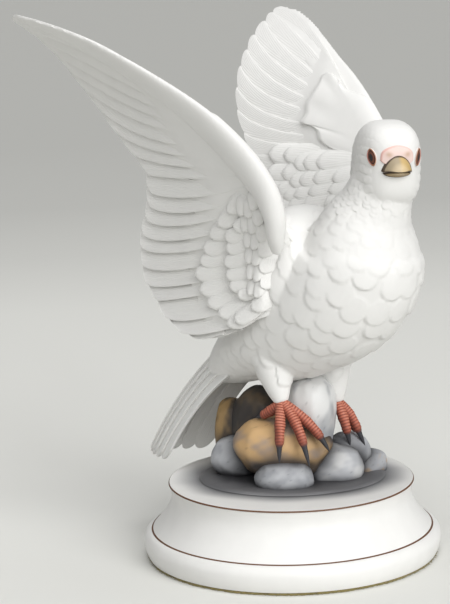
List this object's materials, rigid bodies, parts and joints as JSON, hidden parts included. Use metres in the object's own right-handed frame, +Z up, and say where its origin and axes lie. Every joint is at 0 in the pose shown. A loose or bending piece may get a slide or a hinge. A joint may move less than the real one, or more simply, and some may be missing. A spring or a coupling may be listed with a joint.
{
  "type": "dove figurine",
  "caption": "White bisque dove with raised wings and fanned tail, standing on painted river stones on a round moulded base with a felt underside.",
  "frame": {"origin": "centre of the felt underside, on the surface that the figurine stands on", "axes": "+Z up; -Y is where the dove's body faces; +X is the dove's left side"},
  "size_m": [0.2168, 0.1761, 0.2833],
  "materials": {
    "painted_bisque": "unglazed matte bisque, white with painted feet, beak, eyes and stones",
    "white_bisque": "unglazed matte bisque with two thin painted brown lines",
    "felt": "olive felt, fibrous at the edge"
  },
  "bodies": {
    "root": {"dove_on_rocks": "painted_bisque", "plinth": "white_bisque", "felt_pad": "felt"}
  },
  "joints": []
}
